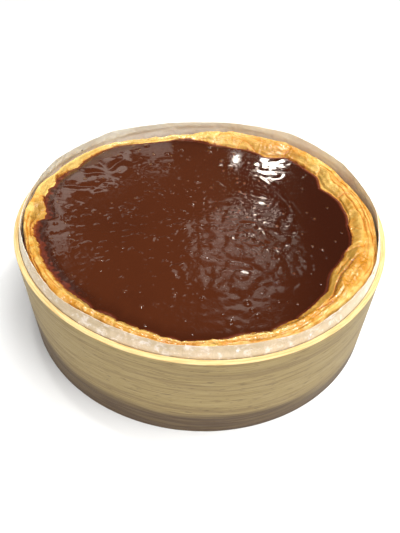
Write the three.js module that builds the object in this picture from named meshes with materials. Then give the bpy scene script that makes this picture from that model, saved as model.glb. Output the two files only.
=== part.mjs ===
import * as THREE from "three";
import { ImprovedNoise } from "three/addons/math/ImprovedNoise.js";

// A chocolate custard tart in the round wooden case that it was baked in, with a strip of baking
// paper between the wood and the pastry. Millimetres, +Z up. The origin is the centre of the
// case's underside, and -Y is the side that faces the viewer. An azimuth is counted from +X
// towards +Y.

const TURN = Math.PI * 2;

// Wooden case: a bent hoop and a round board that closes it underneath.
const CASE_DIAMETER = 180;
const CASE_HEIGHT = 51;
const HOOP_THICKNESS = 2.2;
const HOOP_EDGE_BREAK = 0.35;
const BOARD_THICKNESS = 3;
// The board keeps the foot of the hoop round. Towards the top the hoop springs out of round, in
// two lobes and in three.
const HOOP_SPRING = [
  { lobes: 2, swell: 0.91, at: 48 },
  { lobes: 3, swell: 1.05, at: 53 },
];

// Baking paper: a strip that stands up past the hoop and leans in over the tart, most of all at
// the front. Between its creases it runs straight, so it sags inwards from a circle there.
const PAPER_THICKNESS = 0.5;
const PAPER_LEAN = 1.1;
const PAPER_LEAN_BACK = 0.3;
const PAPER_LEAN_START = 47;
const PAPER_SAG = 1;
const PAPER_CREASES = [
  { at: -165, rise: 4.4 },
  { at: -132, rise: 4.7 },
  { at: -97, rise: 4.9 },
  { at: -62, rise: 4.8 },
  { at: -28, rise: 4.6 },
  { at: 3, rise: 5.2 },
  { at: 30, rise: 5.6 },
  { at: 55, rise: 6.7 },
  { at: 83, rise: 4.8 },
  { at: 105, rise: 4.9 },
  { at: 131, rise: 7 },
  { at: 158, rise: 6.6 },
];

// Clearance between pieces that touch. The custard's ragged side needs a little more.
const GAP = 0.3;
const CUSTARD_GAP = 0.4;

// Pastry shell: a floor, a wall that thins towards the top, and a folded rim.
const SHELL_FLOOR = 4;
const SHELL_FOOT_ROUNDING = 2.5;
const SHELL_WAIST = 28;
// The inner wall follows the rim's ragged edge at the top and has become round at its foot, where
// a slope joins it to the floor.
const WALL_FOOT_RADIUS = 80;
const WALL_FOOT_HEIGHT = 12;
const WALL_FOOT_SLOPE = 3;
const WALL_STEPS = [44, 36, 28, 20];
// In the oven the shell has shrunk from the paper, at the top and towards the back.
const SHRINK = 3.8;
const SHRINK_AT = 80;
const SHRINK_START = 22;
// The rim is counted across from its outer edge (0) to its inner lip (1).
const RIM_CROSSINGS = [0, 0.07, 0.14, 0.2, 0.27, 0.35, 0.44, 0.53, 0.63, 0.74, 0.86, 1];
const RIM_INNER_RADIUS = 76.5;
const RIM_SHIFT = 3.4;
const RIM_SHIFT_AT = 170;
const RIM_LEAST_WIDTH = 3.2;
const RIM_CREST = 54;
const RIM_LUMP = 0.8;
const RIM_LUMP_LENGTH = 9;
const RIM_SHOULDER = 1.7;
const RIM_SHOULDER_WIDTH = 0.18;
const RIM_SIDE = 3.6;
const RIM_OUTER_INSET = 0.7;
const RIM_BROW = 0.45;
const RIM_LIP = 0.9;
const RIM_LIP_ROUNDING = 0.5;
// Grooves between the layers of dough that show along the rim, deepest on the right.
const LAYER_GROOVE_DEPTH = 0.75;
const LAYER_GROOVES = [0.2, 0.44];
const LAYER_GROOVE_WIDTH = 0.055;
const LAYER_GROOVES_AT = -10;
// Stretches where the rim leans in over the custard (reach), stands up (lift) and has shrunk from
// the paper (shrink), or the opposite where a value is negative. before and after are the angles
// over which each one dies away.
const RIM_FOLDS = [
  { at: 72, before: 13, after: 34, reach: 7, lift: 0.4, shrink: 0.5 }, // broad leaf at the back
  { at: 60, before: 5, after: 5, reach: 4.2, lift: 0.3, shrink: 0 }, // its right tip
  { at: 87, before: 5, after: 5, reach: 3.5, lift: 0.2, shrink: 1.5 }, // its left tip
  { at: 106, before: 14, after: 27, reach: 0, lift: -2.9, shrink: 2 }, // low stretch
  { at: 135, before: 12, after: 14, reach: -3.4, lift: -1.2, shrink: -3.2 }, // almost bare paper
  { at: 163, before: 7, after: 24, reach: -3.3, lift: -0.7, shrink: 0.2 }, // thin left back
  { at: 180, before: 4, after: 5, reach: 5, lift: 0.2, shrink: 0 }, // chip over the custard
  { at: -88, before: 18, after: 36, reach: -3.8, lift: -0.3, shrink: 0 }, // thin front
  { at: -77, before: 5, after: 5, reach: 1.2, lift: 0.3, shrink: 0 }, // small lobe in it
  { at: -32, before: 10, after: 22, reach: 4.9, lift: 0.8, shrink: -1.4 }, // puffed front right
  { at: 25, before: 5, after: 5, reach: 3.4, lift: 0.3, shrink: 1 }, // pointed lobe on the right
];

// Chocolate custard: its skin is counted from the middle (0) to the pastry (1).
const CUSTARD_LEVEL = 50;
const CUSTARD_DISH = 1.1;
const CUSTARD_SWELL = 0.55;
const CUSTARD_SWELL_LENGTH = 19;
const CUSTARD_RINGS = [0.2, 0.4, 0.58, 0.73, 0.85, 0.94];

const CASE_SEGMENTS = 96;
const TART_SEGMENTS = 144;

const noise = new ImprovedNoise();
const NOISE_GAIN = 1.6;
const degrees = (azimuth) => THREE.MathUtils.radToDeg(azimuth);
const radians = (angle) => THREE.MathUtils.degToRad(angle);
const { lerp, smoothstep } = THREE.MathUtils;

/** Smooth bumps of about the given length, from -1 to 1, that close on themselves round the tart. */
function bumps(radius, azimuth, height, length) {
  const x = (radius * Math.cos(azimuth)) / length;
  const y = (radius * Math.sin(azimuth)) / length;
  return noise.noise(x, y, height / length) * NOISE_GAIN;
}

/** How strongly a stretch of the rim is felt at an azimuth, from 0 to 1. */
function foldStrength(fold, azimuth) {
  const away = THREE.MathUtils.euclideanModulo(degrees(azimuth) - fold.at + 180, 360) - 180;
  const spread = away < 0 ? fold.before : fold.after;
  return Math.exp(-((away / spread) ** 2));
}

/** The sum of one value of the rim's stretches at an azimuth. */
function folded(value, azimuth) {
  return RIM_FOLDS.reduce((sum, fold) => sum + fold[value] * foldStrength(fold, azimuth), 0);
}

/** Outer radius of the hoop: round at the foot, out of round at the top. */
function hoopRadius(azimuth, height) {
  const sprung = Math.min(height, CASE_HEIGHT) / CASE_HEIGHT;
  const swell = HOOP_SPRING.reduce(
    (sum, { lobes, swell, at }) => sum + swell * Math.cos(lobes * (azimuth - radians(at))),
    0,
  );
  return CASE_DIAMETER / 2 + swell * sprung;
}

/** The paper at an azimuth: how far it rises past the hoop, and how much it sags inwards. */
function paperEdge(azimuth) {
  const first = PAPER_CREASES[0];
  const turn = first.at + THREE.MathUtils.euclideanModulo(degrees(azimuth) - first.at, 360);
  const creases = [...PAPER_CREASES, { ...first, at: first.at + 360 }];
  const next = creases.findIndex((crease) => crease.at > turn);
  const [from, to] = [creases[next - 1], creases[next]];
  const share = (turn - from.at) / (to.at - from.at);
  return { rise: lerp(from.rise, to.rise, share), sag: PAPER_SAG * 4 * share * (1 - share) };
}

/** Height of the paper's upper edge. */
function paperTop(azimuth) {
  return CASE_HEIGHT + paperEdge(azimuth).rise;
}

/** Outer radius of the paper, which stands against the hoop up to where it starts to lean in. */
function paperRadius(azimuth, height) {
  const against = hoopRadius(azimuth, height) - HOOP_THICKNESS - GAP;
  const front = 0.5 - 0.5 * Math.sin(azimuth);
  const inwards = lerp(PAPER_LEAN_BACK, PAPER_LEAN, front) + paperEdge(azimuth).sag;
  return against - inwards * smoothstep(height, PAPER_LEAN_START, paperTop(azimuth));
}

/** Outer radius of the pastry: against the paper, less what it has shrunk. */
function shellRadius(azimuth, height) {
  const against = paperRadius(azimuth, height) - PAPER_THICKNESS - GAP;
  const back = (0.5 + 0.5 * Math.cos(azimuth - radians(SHRINK_AT))) ** 1.5;
  const shrunk = Math.max(SHRINK * back + folded("shrink", azimuth), 0);
  return against - shrunk * smoothstep(height, SHRINK_START, RIM_CREST);
}

/** Radius at which the custard meets the rim. */
function rimInnerRadius(azimuth) {
  const shift = RIM_SHIFT * Math.cos(azimuth - radians(RIM_SHIFT_AT));
  const ragged = bumps(RIM_INNER_RADIUS, azimuth, 0, RIM_LUMP_LENGTH) * RIM_LUMP;
  const widest = shellRadius(azimuth, CUSTARD_LEVEL) - RIM_LEAST_WIDTH;
  return Math.min(RIM_INNER_RADIUS + shift - folded("reach", azimuth) + ragged, widest);
}

/** Radius of the shell's inner wall, from the ragged edge at the custard's level to a round foot. */
function wallRadius(azimuth, height) {
  const raggedness = smoothstep(height, WALL_FOOT_HEIGHT, CUSTARD_LEVEL);
  return lerp(WALL_FOOT_RADIUS, rimInnerRadius(azimuth), raggedness);
}

/** Depth of the grooves between the layers of dough. */
function grooveDepth(azimuth, across) {
  const grooves = LAYER_GROOVES.reduce(
    (sum, at) => sum + Math.exp(-(((across - at) / LAYER_GROOVE_WIDTH) ** 2)),
    0,
  );
  const right = 0.5 + 0.5 * Math.cos(azimuth - radians(LAYER_GROOVES_AT));
  return grooves * LAYER_GROOVE_DEPTH * right;
}

/** Height of the rim, from its outer edge (0) to its inner lip (1). */
function rimHeight(azimuth, across, radius) {
  const crest = RIM_CREST + folded("lift", azimuth);
  const shoulder = RIM_SHOULDER * (1 - Math.min(across / RIM_SHOULDER_WIDTH, 1)) ** 2;
  const slope = (crest - CUSTARD_LEVEL - RIM_LIP) * smoothstep(across, RIM_BROW, 1) ** 1.6;
  const lumps = bumps(radius, azimuth, crest, RIM_LUMP_LENGTH) * RIM_LUMP;
  const height = crest - shoulder - slope - grooveDepth(azimuth, across);
  return Math.max(height + lumps * Math.sin(Math.PI * across), CUSTARD_LEVEL + RIM_LIP);
}

/** Height of the custard's skin: dished, and slightly uneven. */
function custardHeight(azimuth, share, radius) {
  const dish = CUSTARD_DISH * (1 - share ** 4);
  const swell = bumps(radius, azimuth, CUSTARD_LEVEL, CUSTARD_SWELL_LENGTH) * CUSTARD_SWELL;
  return CUSTARD_LEVEL - dish + swell * (1 - share ** 6);
}

/**
 * A body turned about Z whose profile changes with the azimuth. profileAt gives the profile from
 * the underside outwards and up, closed on itself or with both ends on the axis.
 */
function turned(profileAt, segments) {
  const geometry = new THREE.LatheGeometry(profileAt(0), segments);
  const position = geometry.getAttribute("position");
  const rows = position.count / (segments + 1);
  for (let column = 0; column <= segments; column++) {
    const azimuth = ((column % segments) / segments) * TURN;
    profileAt(azimuth).forEach(({ x: radius, y: height }, row) => {
      const vertex = column * rows + row;
      position.setXYZ(vertex, radius * Math.cos(azimuth), radius * Math.sin(azimuth), height);
    });
  }
  geometry.computeVertexNormals();
  return geometry;
}

const profile = (...points) => points.map(([radius, height]) => new THREE.Vector2(radius, height));

function hoopGeometry() {
  return turned((azimuth) => {
    const outer = (height) => hoopRadius(azimuth, height);
    const inner = (height) => outer(height) - HOOP_THICKNESS;
    const shoulder = CASE_HEIGHT - HOOP_EDGE_BREAK;
    return profile(
      [inner(0), 0],
      [outer(0), 0],
      [outer(shoulder), shoulder],
      [outer(CASE_HEIGHT) - HOOP_EDGE_BREAK, CASE_HEIGHT],
      [inner(CASE_HEIGHT) + HOOP_EDGE_BREAK, CASE_HEIGHT],
      [inner(shoulder), shoulder],
      [inner(0), 0],
    );
  }, CASE_SEGMENTS);
}

function boardGeometry() {
  const radius = CASE_DIAMETER / 2 - HOOP_THICKNESS - GAP;
  const outline = profile([0, 0], [radius, 0], [radius, BOARD_THICKNESS], [0, BOARD_THICKNESS]);
  return turned(() => outline, CASE_SEGMENTS);
}

function paperGeometry() {
  return turned((azimuth) => {
    const top = paperTop(azimuth);
    const heights = [BOARD_THICKNESS + GAP, PAPER_LEAN_START, CASE_HEIGHT, top];
    const outside = heights.map((height) => [paperRadius(azimuth, height), height]);
    const inside = outside.map(([radius, height]) => [radius - PAPER_THICKNESS, height]);
    return profile(...outside, ...inside.reverse(), outside[0]);
  }, CASE_SEGMENTS);
}

function shellGeometry() {
  const underside = BOARD_THICKNESS + GAP;
  const floor = underside + SHELL_FLOOR;
  const outerHeights = [underside + SHELL_FOOT_ROUNDING, SHELL_WAIST, PAPER_LEAN_START];
  const innerHeights = [CUSTARD_LEVEL, ...WALL_STEPS, WALL_FOOT_HEIGHT];
  return turned((azimuth) => {
    const outer = outerHeights.map((height) => [shellRadius(azimuth, height), height]);
    const edge = shellRadius(azimuth, RIM_CREST) - RIM_OUTER_INSET;
    const lip = rimInnerRadius(azimuth) + RIM_LIP_ROUNDING;
    const rim = RIM_CROSSINGS.map((across) => {
      const radius = lerp(edge, lip, across);
      return [radius, rimHeight(azimuth, across, radius)];
    });
    const inner = innerHeights.map((height) => [wallRadius(azimuth, height), height]);
    return profile(
      [0, underside],
      [shellRadius(azimuth, underside) - SHELL_FOOT_ROUNDING, underside],
      ...outer,
      [edge, RIM_CREST - RIM_SIDE],
      ...rim,
      ...inner,
      [WALL_FOOT_RADIUS - WALL_FOOT_SLOPE, floor],
      [0, floor],
    );
  }, TART_SEGMENTS);
}

function custardGeometry() {
  const underside = BOARD_THICKNESS + GAP + SHELL_FLOOR + GAP;
  const heights = [WALL_FOOT_HEIGHT, ...WALL_STEPS.toReversed()];
  return turned((azimuth) => {
    const side = heights.map((height) => [wallRadius(azimuth, height) - CUSTARD_GAP, height]);
    const edge = rimInnerRadius(azimuth) - CUSTARD_GAP;
    const skin = CUSTARD_RINGS.map((share) => {
      const radius = edge * share;
      return [radius, custardHeight(azimuth, share, radius)];
    });
    return profile(
      [0, underside],
      [WALL_FOOT_RADIUS - WALL_FOOT_SLOPE - CUSTARD_GAP, underside],
      ...side,
      [edge, CUSTARD_LEVEL],
      ...skin.reverse(),
      [0, custardHeight(0, 0, 0)],
    );
  }, TART_SEGMENTS);
}

function piece(name, geometry, color, roughness) {
  const material = new THREE.MeshStandardMaterial({ color, roughness, metalness: 0 });
  const mesh = new THREE.Mesh(geometry, material);
  mesh.name = name;
  return mesh;
}

const tart = new THREE.Group();
tart.name = "custard_tart";
tart.add(
  piece("case_hoop", hoopGeometry(), 0xc2aa78, 0.75),
  piece("case_board", boardGeometry(), 0xb89e6c, 0.8),
  piece("baking_paper", paperGeometry(), 0xe2d6c6, 0.6),
  piece("pastry_shell", shellGeometry(), 0xd99a44, 0.55),
  piece("chocolate_custard", custardGeometry(), 0x5c2c1a, 0.2),
);

export default tart;
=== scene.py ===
import math

import bpy
import numpy as np
from bpy.props import FloatProperty, FloatVectorProperty, PointerProperty
from mathutils import Matrix, Vector, noise
from mathutils.bvhtree import BVHTree


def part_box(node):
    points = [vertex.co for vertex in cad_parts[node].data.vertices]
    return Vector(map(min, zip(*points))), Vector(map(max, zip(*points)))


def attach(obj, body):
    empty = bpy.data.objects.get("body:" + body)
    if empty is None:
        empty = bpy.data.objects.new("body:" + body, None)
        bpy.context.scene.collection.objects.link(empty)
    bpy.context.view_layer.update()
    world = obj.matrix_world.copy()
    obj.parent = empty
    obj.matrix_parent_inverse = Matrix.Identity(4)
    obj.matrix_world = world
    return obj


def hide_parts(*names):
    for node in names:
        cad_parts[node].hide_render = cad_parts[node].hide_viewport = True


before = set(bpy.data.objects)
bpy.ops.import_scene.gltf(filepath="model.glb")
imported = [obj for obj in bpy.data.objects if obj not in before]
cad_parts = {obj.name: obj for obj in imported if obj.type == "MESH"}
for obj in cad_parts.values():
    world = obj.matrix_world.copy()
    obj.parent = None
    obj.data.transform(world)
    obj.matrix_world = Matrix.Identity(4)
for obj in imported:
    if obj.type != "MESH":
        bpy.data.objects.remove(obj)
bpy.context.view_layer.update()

bl_info = {
    "name": "Chocolate Custard Tart",
    "version": (1, 0, 0),
    "blender": (4, 5, 0),
    "location": "3D View > Sidebar > Tart",
    "description": "Models a chocolate custard tart in its wooden case with baking paper",
    "category": "Object",
}

# Metres, +Z up. The tart stands on z = 0 round the Z axis, and -Y is its front. Azimuths are in
# degrees from +X towards +Y. Small sizes are written as a number of millimetres times MM.
MM = 0.001
TURN = 2 * math.pi

# Points closer than this are one point.
WELD = 0.01 * MM


# ---------------------------------------------------------------------------------------------
# Reading the fixed frame
# ---------------------------------------------------------------------------------------------


class Solid:
    """A solid of the frame, measured with straight feelers."""

    reach = 0.2

    def __init__(self, node):
        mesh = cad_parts[node].data
        corners = [vertex.co.copy() for vertex in mesh.vertices]
        self.tree = BVHTree.FromPolygons(corners, [face.vertices for face in mesh.polygons])
        self.low, self.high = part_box(node)

    def felt(self, start, direction):
        """The first place that a feeler meets, or None."""
        return self.tree.ray_cast(Vector(start), Vector(direction))[0]

    def radius(self, azimuths, heights, from_outside=True):
        """Radius of the first wall met at each azimuth, at one height or a height for each."""
        found = []
        for angle, height in zip(azimuths, np.broadcast_to(heights, len(azimuths))):
            away = Vector((math.cos(angle), math.sin(angle), 0))
            level = Vector((0, 0, height))
            if from_outside:
                point = self.felt(level + away * self.reach, -away)
            else:
                point = self.felt(level, away)
            found.append(math.nan if point is None else math.hypot(point.x, point.y))
        return filled(np.array(found))

    def top(self, azimuths, radii):
        """Height of the upper surface at each azimuth and radius."""
        found = []
        for angle, radius in zip(azimuths, radii):
            x, y = radius * math.cos(angle), radius * math.sin(angle)
            point = self.felt((x, y, self.reach), (0, 0, -1))
            found.append(math.nan if point is None else point.z)
        return np.array(found)


def filled(values):
    """Values round the tart, with the gaps between them bridged."""
    missing = np.isnan(values)
    if missing.any():
        places = np.arange(len(values))
        values[missing] = np.interp(
            places[missing], places[~missing], values[~missing], period=len(values)
        )
    return values


def eased(values, steps):
    """Values round the tart, evened out over a number of steps."""
    reach = int(3 * steps)
    weights = np.exp(-0.5 * (np.arange(-reach, reach + 1) / steps) ** 2)
    shifted = [np.roll(values, shift, axis=0) for shift in range(-reach, reach + 1)]
    return sum(w * v for w, v in zip(weights, shifted)) / weights.sum()


# ---------------------------------------------------------------------------------------------
# Patterns
# ---------------------------------------------------------------------------------------------


def smooth(values, start, end):
    """0 before start, 1 after end, and a smooth step between them. Either may be the larger."""
    share = np.clip((values - start) / (end - start), 0, 1)
    return share * share * (3 - 2 * share)


def mixed(first, second, share):
    """The first value at a share of 0, the second at 1."""
    return first + (second - first) * share


def bumps(places, length, seed, octaves=1):
    """Even noise from about -1 to 1 at an array of places, with features of one length."""
    shift = Vector((seed * 17.3, seed * 5.7, seed * 11.9))
    total = np.zeros(len(places))
    for octave in range(octaves):
        scale = 2**octave / length
        values = [noise.noise(Vector(place) * scale + shift) for place in places]
        total += np.array(values) / 2**octave
    return total


def creased(places, length, seed):
    """Noise with sharp creases, from -1 in a crease to 1 on a swell."""
    return np.clip(3.2 * np.abs(bumps(places, length, seed)), 0, 1.6) - 0.6


def stretch(degrees, start, end, soft):
    """1 between two azimuths and 0 away from them, with soft ends."""
    middle, half = (start + end) / 2, (end - start) / 2
    away = np.abs((degrees - middle + 180) % 360 - 180)
    return smooth(away, half + soft, half - soft)


def oval(x, y, centre, radii, turn=0):
    """1 in the middle of an oval on the tart, falling smoothly to 0 at its edge."""
    c, s = math.cos(math.radians(turn)), math.sin(math.radians(turn))
    dx, dy = x - centre[0], y - centre[1]
    across, down = (dx * c + dy * s) / radii[0], (dy * c - dx * s) / radii[1]
    return smooth(np.hypot(across, down), 1.15, 0.7)


# ---------------------------------------------------------------------------------------------
# Modelling steps that the pieces share
# ---------------------------------------------------------------------------------------------


def deselect():
    """Leaves edit mode with nothing selected."""
    if bpy.context.mode != "OBJECT":
        bpy.ops.object.mode_set(mode="OBJECT")
    bpy.ops.object.select_all(action="DESELECT")


def turned(name, profile, steps):
    """A piece spun round Z from a chain of (radius, height) points, which may end at its start."""
    deselect()
    bpy.ops.mesh.primitive_plane_add(size=MM)
    piece = bpy.context.object
    piece.name = piece.data.name = name
    bpy.ops.object.mode_set(mode="EDIT")
    bpy.ops.mesh.merge(type="CENTER")
    bpy.ops.transform.translate(value=(profile[0][0], 0, profile[0][1]))
    for (radius, height), (next_radius, next_height) in zip(profile, profile[1:]):
        step = (next_radius - radius, 0, next_height - height)
        bpy.ops.mesh.extrude_vertices_move(TRANSFORM_OT_translate={"value": step})
    bpy.ops.object.mode_set(mode="OBJECT")
    bpy.ops.object.modifier_add(type="SCREW")
    spin = piece.modifiers[-1]
    spin.axis, spin.angle, spin.screw_offset = "Z", TURN, 0
    spin.steps = spin.render_steps = steps
    spin.use_merge_vertices, spin.merge_threshold = True, WELD
    bpy.ops.object.modifier_apply(modifier=spin.name)
    bpy.ops.object.mode_set(mode="EDIT")
    bpy.ops.mesh.select_all(action="SELECT")
    bpy.ops.mesh.remove_doubles(threshold=WELD)
    bpy.ops.mesh.normals_make_consistent(inside=False)
    bpy.ops.object.mode_set(mode="OBJECT")
    return piece


class Sheet:
    """The points of a spun piece, known by their column round the axis and row on the profile.

    The profile that is spun gives each row a place of its own. place then moves every point.
    """

    def __init__(self, piece, profile, steps):
        self.piece, self.steps = piece, steps
        points = np.zeros(len(piece.data.vertices) * 3)
        piece.data.vertices.foreach_get("co", points)
        points = points.reshape(-1, 3)
        angle = np.arctan2(points[:, 1], points[:, 0])
        self.column = np.round(angle / TURN * steps).astype(int) % steps
        radius = np.hypot(points[:, 0], points[:, 1])
        ends = np.array(profile)
        distance = (radius[:, None] - ends[:, 0]) ** 2 + (points[:, 2][:, None] - ends[:, 1]) ** 2
        self.row = distance.argmin(axis=1)
        self.azimuth = self.column / steps * TURN
        self.degrees = np.degrees(self.azimuth)

    def place(self, radius, height):
        """Moves the points to tables of radius and height, with a line for each row."""
        r, z = radius[self.row, self.column], height[self.row, self.column]
        x, y = r * np.cos(self.azimuth), r * np.sin(self.azimuth)
        self.piece.data.vertices.foreach_set("co", np.stack([x, y, z], axis=1).ravel())
        self.piece.data.update()

    def paint(self, name, table):
        """Keeps a table's values in an attribute that the finish reads."""
        layer = self.piece.data.attributes.new(name, "FLOAT", "POINT")
        layer.data.foreach_set("value", table[self.row, self.column].astype(np.float32))


def round_azimuths(steps):
    """Azimuths all the way round, in radians."""
    return np.arange(steps) / steps * TURN


def around(azimuths, radii, heights):
    """Places in millimetres, one for each azimuth, radius and height."""
    x, y = radii * np.cos(azimuths), radii * np.sin(azimuths)
    return np.stack([x, y, heights + 0 * x], axis=-1).reshape(-1, 3) / MM


def finished(piece, node, material, angle=40):
    """Smooths a piece, gives it its finish and lets it stand for its solid."""
    deselect()
    piece.select_set(True)
    bpy.context.view_layer.objects.active = piece
    bpy.ops.object.shade_smooth_by_angle(angle=math.radians(angle))
    piece.data.materials.clear()
    piece.data.materials.append(material)
    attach(piece, "root")
    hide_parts(node)


# ---------------------------------------------------------------------------------------------
# Finishes
# ---------------------------------------------------------------------------------------------


def shade(red, green, blue):
    """A colour given from 0 to 255, as a painter mixes it, in the linear values of a shader."""
    values = [value / 255 for value in (red, green, blue)]
    return tuple(v / 12.92 if v <= 0.04045 else ((v + 0.055) / 1.055) ** 2.4 for v in values)


def colour(name, description, red, green, blue):
    """A colour setting, with its default from 0 to 255."""
    return FloatVectorProperty(
        name=name,
        description=description,
        subtype="COLOR",
        size=3,
        min=0,
        max=1,
        default=shade(red, green, blue),
    )


def length(name, description, millimetres):
    """A length setting, with its default in millimetres."""
    return FloatProperty(
        name=name, description=description, default=millimetres * MM, min=0, unit="LENGTH"
    )


class Finish:
    """A material built from nodes."""

    def __init__(self, name, **sockets):
        self.material = bpy.data.materials.new(name)
        self.material.use_nodes = True
        self.nodes = self.material.node_tree.nodes
        self.links = self.material.node_tree.links
        self.shader = self.nodes["Principled BSDF"]
        for socket, value in sockets.items():
            self.set(socket.replace("_", " "), value)

    def set(self, socket, value):
        """Gives a socket of the shader a value, a colour or a link."""
        self.feed(self.shader.inputs[socket], value)

    def feed(self, socket, value):
        """Gives any socket a value, a colour or a link."""
        if isinstance(value, bpy.types.NodeSocket):
            self.links.new(value, socket)
        elif socket.type == "RGBA":
            socket.default_value = (*value[:3], 1)
        else:
            socket.default_value = value

    def node(self, kind, inputs=(), **settings):
        """A new node, with values or links for its sockets."""
        node = self.nodes.new("ShaderNode" + kind)
        for key, value in settings.items():
            setattr(node, key, value)
        for key, value in dict(inputs).items():
            self.feed(node.inputs[key], value)
        return node

    def where(self):
        """The place on the piece."""
        return self.node("TexCoord").outputs["Object"]

    def axes(self):
        """The place on the piece as its x, y and z."""
        return self.node("SeparateXYZ", {0: self.where()}).outputs

    def place(self, scale, shift=(0, 0, 0)):
        """The place on the piece, multiplied by a scale and shifted."""
        inputs = {"Vector": self.where(), "Scale": scale, "Location": shift}
        return self.node("Mapping", inputs).outputs[0]

    def distance(self, point):
        """How far the place on the piece is from a point."""
        inputs = {0: self.where(), 1: point}
        return self.node("VectorMath", inputs, operation="DISTANCE").outputs["Value"]

    def attribute(self, name):
        """A value that was painted on the piece."""
        return self.node("Attribute", attribute_name=name).outputs["Fac"]

    def noise(self, vector, scale, detail=3, roughness=0.5, distortion=0):
        """Noise from about 0.3 to 0.7, with features of about one unit over the scale."""
        inputs = {
            "Vector": vector,
            "Scale": scale,
            "Detail": detail,
            "Roughness": roughness,
            "Distortion": distortion,
        }
        return self.node("TexNoise", inputs).outputs[0]

    def cells(self, vector):
        """Cells of about one unit, with 0 in the middle of each."""
        return self.node("TexVoronoi", {"Vector": vector, "Scale": 1}).outputs["Distance"]

    def bubbles(self, scale, size):
        """Low round bubbles, about one to every third cell."""
        place = self.place((scale, scale, 1), shift=(0.37 * scale, 0.11 * scale, 0))
        chance = self.node("TexVoronoi", {"Vector": place, "Scale": 1}).outputs["Color"]
        chosen = self.span(self.node("SeparateColor", {0: chance}).outputs[0], 0.66, 0.7)
        return self.times(self.span(self.cells(place), size, 0), chosen)

    def maths(self, operation, first, second=0.0):
        return self.node("Math", {0: first, 1: second}, operation=operation).outputs[0]

    def times(self, first, second):
        return self.maths("MULTIPLY", first, second)

    def plus(self, first, second):
        return self.maths("ADD", first, second)

    def minus(self, first, second):
        return self.maths("SUBTRACT", first, second)

    def span(self, value, start, end, low=0.0, high=1.0):
        """A value brought from one range to another, smoothly and no further than its ends."""
        inputs = {"Value": value, 1: start, 2: end, 3: low, 4: high}
        return self.node("MapRange", inputs, interpolation_type="SMOOTHSTEP").outputs[0]

    def blend(self, share, first, second):
        """The first colour at a share of 0, the second at 1."""
        node = self.node("Mix", {0: share}, data_type="RGBA")
        self.feed(node.inputs[6], first)
        self.feed(node.inputs[7], second)
        return node.outputs[2]

    def relief(self, height, depth, normal=None):
        """A surface relief of a depth in metres."""
        inputs = {"Height": height, "Distance": depth, "Strength": 1.0}
        if normal is not None:
            inputs["Normal"] = normal
        return self.node("Bump", inputs).outputs[0]


# ---------------------------------------------------------------------------------------------
# Wooden case
# ---------------------------------------------------------------------------------------------


class WoodLook(bpy.types.PropertyGroup):
    """Colours and sizes of the wooden case."""

    face: colour("Face", "Planed outside of the hoop", 157, 136, 86)
    figure: colour("Figure", "Darker bands of the grain", 118, 95, 54)
    # The dark brown of the pores, and of a band along the hoop's foot.
    dark_brown: colour("Heart", "Brown heartwood along the foot", 78, 56, 30)
    fleck: colour("Fleck", "Small dark marks here and there", 70, 48, 26)
    cut: colour("Cut edge", "Bright sawn edge at the top", 228, 198, 140)
    cut_dark: colour("Cut edge fibres", "Darker fibres of the sawn edge", 208, 168, 104)
    edge_wear: length("Edge wear", "How far the fibres of the cut edge stand proud", 0.09)


HOOP_STEPS = 720
HOOP_THICKNESS = 2.2 * MM
HOOP_EDGE_BREAK = 0.35 * MM
BOARD_STEPS = 360
BOARD_CHAMFER = 0.5 * MM


class TART_OT_hoop(bpy.types.Operator):
    """Spin the bent wooden hoop and fray its sawn edge"""

    bl_idname = "tart.hoop"
    bl_label = "Wooden Hoop"

    def execute(self, context):
        look = context.scene.wood_look
        solid = Solid("case_hoop")
        azimuths = round_azimuths(HOOP_STEPS)
        low, high = solid.low.z, solid.high.z
        thick, edge = HOOP_THICKNESS, HOOP_EDGE_BREAK
        inside = solid.high.x - 2 * MM
        outer_rows = [low + edge * 0.6, 2 * MM, 10 * MM, 20 * MM, 30 * MM, 40 * MM, 47 * MM]
        rounding = [(0, edge), (0.25, 0.3 * edge), (1, 0)]
        profile = [(inside, low)]
        profile += [(inside + thick, height) for height in outer_rows]
        profile += [(inside + thick - edge * inwards, high - down) for inwards, down in rounding]
        profile += [(inside + thick * share, high) for share in (0.7, 0.5, 0.3)]
        profile += [(inside + edge * out, high - down) for out, down in reversed(rounding)]
        profile += [(inside, 25 * MM)]
        piece = turned("wooden_hoop", profile + profile[:1], HOOP_STEPS)
        sheet = Sheet(piece, profile, HOOP_STEPS)
        radius, heights = [], []
        for base, height in profile:
            level = min(max(height, low + WELD), high - edge - WELD)
            outer = eased(solid.radius(azimuths, level), 3)
            share = (base - inside) / thick
            wave = bumps(around(azimuths, 0.09, height), 9, 3) * 0.03 * MM
            radius.append(mixed(outer - thick, outer, share) + wave * share)
            fray = bumps(around(azimuths, base, 0), 1.3, 5, 2) * look.edge_wear
            on_top = smooth(height, high - 1.5 * edge, high)
            heights.append(height + (fray - 0.6 * look.edge_wear) * on_top)
        sheet.place(np.array(radius), np.array(heights))
        finished(piece, "case_hoop", wood_finish(look, "bent_wood", upright=True))
        return {"FINISHED"}


class TART_OT_board(bpy.types.Operator):
    """Spin the round board that closes the case underneath"""

    bl_idname = "tart.board"
    bl_label = "Wooden Board"

    def execute(self, context):
        look = context.scene.wood_look
        solid = Solid("case_board")
        low, high = solid.low.z, solid.high.z
        edge = eased(solid.radius(round_azimuths(BOARD_STEPS), (low + high) / 2), 2).mean()
        chamfer = BOARD_CHAMFER
        profile = [(0, low), (edge * 0.5, low), (edge - chamfer, low), (edge, low + chamfer)]
        profile += [(edge, high - chamfer), (edge - chamfer, high), (edge * 0.5, high), (0, high)]
        piece = turned("wooden_board", profile, BOARD_STEPS)
        finished(piece, "case_board", wood_finish(look, "board_wood", upright=False))
        return {"FINISHED"}


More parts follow.
